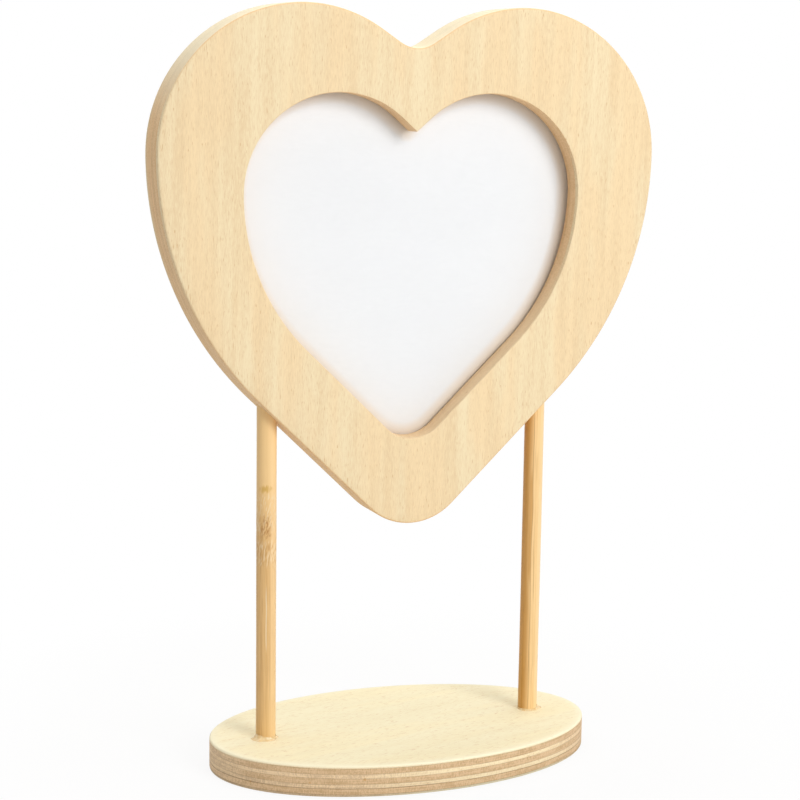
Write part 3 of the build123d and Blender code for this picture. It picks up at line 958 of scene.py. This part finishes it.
# Turn buttons: four small zinc-plated steel tongues, pressed with a stiffening rib and a lifted
# tip. Each swivels on its screw over the edge of the hardboard.
TAIL_RADIUS = 3.0 * MM
TIP_RADIUS = 2.4 * MM
TONGUE_REACH = 8.5 * MM
TONGUE_EASE = 0.2 * MM
TONGUE_CUTS = 6
RIB_RADIUS = 0.85 * MM
RIB_TAPER = 0.9
RIB_FROM = 3.7 * MM
RIB_TO = 6.3 * MM
RIB_HEIGHT = 0.28 * MM
RIB_ROWS = [(0, 0), (0.12, 0.45), (0.3, 0.85), (0.55, 1.0)]
LIFT_FROM = 6.6 * MM
LIFT = 0.3 * MM
ARC_STEPS = 24
SLOT_SHADE = (0.09, 0.085, 0.08)
ZINC_BRIGHT = (0.60, 0.59, 0.56)
ZINC_DULL = (0.47, 0.46, 0.44)
ZINC_SEED = 21.0
ZINC_BRUSH = {"across": 0.06 * MM, "along": 3 * MM}
ZINC_CLOUD = {"across": 1.6 * MM, "along": 2.4 * MM, "shift": 4, "detail": 3.0}
ZINC_CLOUD_SHARE = 0.3
ZINC_ROUGH = (0.35, 0.95, 0.22, 0.42)
ZINC_RELIEF = (0.01 * MM, 0.35)
TONGUES = {
    "turn_button_upper_left": radians(-48),
    "turn_button_upper_right": radians(228),
    "turn_button_lower_left": radians(46),
    "turn_button_lower_right": radians(134),
}


def zinc_plate():
    """Bright zinc on pressed steel: fine brushing, faint clouding and a soft shine."""
    material, tree, shader = bare_material("zinc_plate")
    spot = put(tree, "ShaderNodeTexCoord", {}).outputs["Object"]
    brush = grain_noise(tree, spot, "X", ZINC_SEED, **ZINC_BRUSH)
    cloud = grain_noise(tree, spot, "X", ZINC_SEED, **ZINC_CLOUD)
    zinc = tint(tree, ramp(tree, cloud, *CLOUD_BAND), ZINC_BRIGHT, ZINC_DULL)
    # Painted shade in the screw slots.
    zinc = tint(tree, painted(tree, "slot_shade"), zinc, SLOT_SHADE)
    tone = maths(tree, "MULTIPLY_ADD", cloud, ZINC_CLOUD_SHARE, brush)
    dress(tree, shader, zinc, ramp(tree, tone, *ZINC_ROUGH), brush, ZINC_RELIEF)
    shader.inputs["Metallic"].default_value = 1.0
    return material


def tongue_loop(bm, start, end, start_radius, end_radius, growth, depth):
    """A ring round two circles on the X axis, as a tapered tongue."""
    flare = acos((start_radius - end_radius) / (end - start))
    known = set(bm.edges)
    tail_side = Vector((start, depth, 0)) + (start_radius + growth) * Vector((cos(flare), 0, -sin(flare)))
    tip_side = Vector((end, depth, 0)) + (end_radius + growth) * Vector((cos(flare), 0, sin(flare)))
    first = bmesh.ops.create_vert(bm, co=tail_side)["vert"][0]
    last = arc_from(bm, first, (start, depth, 0), (0, 1, 0), 2 * pi - 2 * flare, ARC_STEPS)
    last = run_to(bm, last, tip_side, TONGUE_CUTS)
    last = arc_from(bm, last, (end, depth, 0), (0, 1, 0), 2 * flare, ARC_STEPS)
    bmesh.ops.contextual_create(bm, geom=[last, first])
    return [edge for edge in bm.edges if edge not in known]


def screw_hole_loop(bm, depth):
    """The round hole over the screw."""
    upright = Matrix.Translation((0, depth, 0)) @ Matrix.Rotation(pi / 2, 4, "X")
    hole = bmesh.ops.create_circle(bm, segments=ARC_STEPS, radius=SCREW_HOLE_RADIUS, matrix=upright)
    return edges_of(hole["verts"])


zinc = zinc_plate()
tongue_shape = (0, TONGUE_REACH - TIP_RADIUS, TAIL_RADIUS, TIP_RADIUS)
rib_shape = (RIB_FROM, RIB_TO, RIB_RADIUS, RIB_TAPER * RIB_RADIUS)
for node, pointing in TONGUES.items():
    front, back = (corner.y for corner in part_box(node))
    bm = bmesh.new()
    rows = rim_rows(front, back, TONGUE_EASE / 2, TONGUE_EASE)
    rings = [tongue_loop(bm, *tongue_shape, -inset, depth) for inset, depth, _ in rows]
    join_rings(bm, rings)
    hole = [screw_hole_loop(bm, depth) for depth in (front, back)]
    join_rings(bm, hole)
    ribs = []
    for inset, rise in RIB_ROWS:
        ribs.append(tongue_loop(bm, *rib_shape, -inset * RIB_RADIUS, back + rise * RIB_HEIGHT))
    join_rings(bm, ribs)
    fill(bm, rings[0] + hole[0])
    fill(bm, rings[-1] + hole[-1] + ribs[0])
    fill(bm, ribs[-1])
    for vert in bm.verts:
        vert.co.y += LIFT * max(0.0, (vert.co.x - LIFT_FROM) / (TONGUE_REACH - LIFT_FROM)) ** 2
    pivot = pivots[node]
    bmesh.ops.rotate(bm, cent=(0, 0, 0), matrix=Matrix.Rotation(-pointing, 3, "Y"), verts=bm.verts)
    bmesh.ops.translate(bm, vec=(pivot.x, 0, pivot.z), verts=bm.verts)
    seat_piece(bm, node.replace("turn_button", "tongue"), zinc, [node], body=node)

# Screws: four round-headed steel screws with a straight slot, one through each turn button into
# the heart's back, turned home by hand, so no two slots line up.
SCREW_RADIUS = 1.2 * MM
SCREW_POINT = 1.2 * MM
HEAD_RADIUS = 2.4 * MM
HEAD_HEIGHT = 1.3 * MM
HEAD_SIDE = 0.4 * MM
SLOT_WIDTH = 0.7 * MM
SLOT_DEPTH = 0.6 * MM
SAW_LENGTH = 3 * HEAD_RADIUS
SCREW_STEPS = 48
SCREW_SEAM_GAP = 0.001 * MM
DOME_STEPS = 8
SLOT_TURNS = [radians(turn) for turn in (24, -38, 71, 5)]
screw_point, screw_top = (corner.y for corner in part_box("turn_button_screws"))
head_seat = screw_top - HEAD_HEIGHT
dome_rise = HEAD_HEIGHT - HEAD_SIDE
dome_radius = (HEAD_RADIUS**2 + dome_rise**2) / (2 * dome_rise)
dome_turn = atan2(HEAD_RADIUS, dome_radius - dome_rise)
shank = [
    (HEAD_RADIUS, head_seat),
    (SCREW_RADIUS, head_seat),
    (SCREW_RADIUS, screw_point + SCREW_POINT),
    (0, screw_point),
]
bm = bmesh.new()
cutter = bmesh.new()
for pivot, slot_turn in zip(pivots.values(), SLOT_TURNS):
    known = bm.verts[:]
    first = bmesh.ops.create_vert(bm, co=(0, screw_top, 0))["vert"][0]
    last = arc_from(bm, first, (0, screw_top - dome_radius, 0), (0, 0, -1), dome_turn, DOME_STEPS)
    for radius, depth in shank:
        last = run_to(bm, last, Vector((radius, depth, 0)), 1)
    made = [vert for vert in bm.verts if vert not in known]
    spin_round(bm, made + edges_of(made), (0, 1, 0), SCREW_STEPS)
    made = [vert for vert in bm.verts if vert not in known]
    bmesh.ops.translate(bm, vec=(pivot.x, 0, pivot.z), verts=made)
    slot_size = Matrix.Diagonal((SAW_LENGTH, 2 * SLOT_DEPTH, SLOT_WIDTH, 1.0))
    slot_place = Matrix.Translation((pivot.x, screw_top, pivot.z)) @ Matrix.Rotation(slot_turn, 4, "Y")
    bmesh.ops.create_cube(cutter, size=1.0, matrix=slot_place @ slot_size)
bmesh.ops.remove_doubles(bm, verts=bm.verts, dist=SCREW_SEAM_GAP)
saw = stand("slot_saw", close_mesh(cutter, "slot_saw"))
screws = seat_piece(bm, "button_screws", zinc, ["turn_button_screws"])
drill(screws, saw)
bpy.data.objects.remove(saw)
# Painted shade: the floor of each slot is marked dark.
slot_shade = screws.data.attributes.new("slot_shade", "FLOAT", "POINT")
for vert in screws.data.vertices:
    in_slot = abs(vert.co.y - screw_top + SLOT_DEPTH) < SEAM_GAP
    slot_shade.data[vert.index].value = 1.0 if in_slot else 0.0

# Studio: a white sheet for a floor, a square soft lamp low at the front right, a wide one overhead
# and just behind, and an even white room, all at a plain level.
FLOOR_SIZE = 6.0
FLOOR_DROP = 0.05 * MM
FLOOR_LEVEL = 0.75
FLOOR_WHITE = 0.86
FLOOR_GLOW = (1.0, 1.0, 1.0, 1.0)
SHADOW_SHARE = 0.12
SHADOW_REACH = 160 * MM
SHADOW_CORE = 0.4 * SHADOW_REACH
ROOM_LEVEL = 0.4
ROOM_WARMTH = (1.0, 0.95, 0.885)


def background_share(tree):
    """1 for rays that look at the background: straight, mirrored or through glass."""
    path = put(tree, "ShaderNodeLightPath", {}).outputs
    seen = maths(tree, "MAXIMUM", path["Is Camera Ray"], path["Is Glossy Ray"])
    return maths(tree, "MAXIMUM", seen, path["Is Transmission Ray"])


white_room = bpy.data.worlds.new("white_room")
bpy.context.scene.world = white_room
white_room.use_nodes = True
tree = white_room.node_tree
seen = background_share(tree)
background = tree.nodes["Background"]
tree.links.new(tint(tree, seen, ROOM_WARMTH, PLAIN_WHITE), background.inputs["Color"])
tree.links.new(ramp(tree, seen, 0.0, 1.0, ROOM_LEVEL, 1.0), background.inputs["Strength"])

white_sheet, tree, _ = bare_material("white_sheet")
tree.nodes.clear()
seen = background_share(tree)
paper = put(tree, "ShaderNodeBsdfDiffuse", {"Color": ramp(tree, seen, 0.0, 1.0, FLOOR_LEVEL, FLOOR_WHITE)})
glow = put(tree, "ShaderNodeEmission", {"Color": FLOOR_GLOW, "Strength": 1.0})
spot = put(tree, "ShaderNodeTexCoord", {}).outputs["Object"]
reach = put(tree, "ShaderNodeVectorMath", {0: spot}, operation="LENGTH").outputs["Value"]
kept = ramp(tree, reach, SHADOW_CORE, SHADOW_REACH, 1 - SHADOW_SHARE, 1.0)
share = times(tree, seen, kept)
mixed = put(tree, "ShaderNodeMixShader", {0: share, 1: paper.outputs[0], 2: glow.outputs[0]})
put(tree, "ShaderNodeOutputMaterial", {"Surface": mixed.outputs[0]})

bm = bmesh.new()
bmesh.ops.create_grid(bm, x_segments=1, y_segments=1, size=FLOOR_SIZE / 2)
bmesh.ops.translate(bm, vec=(0, 0, -FLOOR_DROP), verts=bm.verts)
mesh = close_mesh(bm, "floor")
mesh.materials.append(white_sheet)
floor = stand("floor", mesh)


def direction(azimuth, elevation):
    """The way from the object to a lamp or the camera; azimuth 0 is straight in front."""
    a, e = radians(azimuth), radians(elevation)
    return Vector((sin(a) * cos(e), -cos(a) * cos(e), sin(e)))


def soft_lamp(name, azimuth, elevation, distance, size, power):
    """A flat lamp that looks at the heart's middle."""
    aim = Vector((0, 0, (cad_low.z + cad_high.z) / 2))
    away = direction(azimuth, elevation)
    lamp = bpy.data.lights.new(name, "AREA")
    lamp.shape = "RECTANGLE"
    lamp.size, lamp.size_y = size
    lamp.energy = power
    holder = stand(name, lamp)
    holder.location = aim + distance * away
    holder.rotation_euler = away.to_track_quat("Z", "Y").to_euler()


soft_lamp("key_lamp", azimuth=19, elevation=24, distance=0.95, size=(0.42, 0.42), power=4.9)
soft_lamp("top_lamp", azimuth=175, elevation=80, distance=0.8, size=(1.4, 0.7), power=5.6)

# Camera: a long lens a little to the left of the frame and just above its middle, turned a
# shade so that the rods lean as they do in the picture.
VIEW_AZIMUTH = -21.652
VIEW_ELEVATION = 9.231
VIEW_DISTANCE = 506.772 * MM
VIEW_TARGET = Vector((-1.2, 0, 92.908)) * MM
VIEW_ROLL = 0.815
LENS = 90.15
SENSOR = 36.0
NEAREST = 0.01
away = direction(VIEW_AZIMUTH, VIEW_ELEVATION)
camera_data = bpy.data.cameras.new("camera")
camera_data.sensor_width = SENSOR
camera_data.lens = LENS
camera_data.clip_start = NEAREST
camera = stand("camera", camera_data)
camera.location = VIEW_TARGET + VIEW_DISTANCE * away
turn = away.to_track_quat("Z", "Y") @ Quaternion((0, 0, 1), radians(VIEW_ROLL))
camera.rotation_euler = turn.to_euler()
bpy.context.scene.camera = camera
bpy.context.scene.view_settings.view_transform = "Standard"
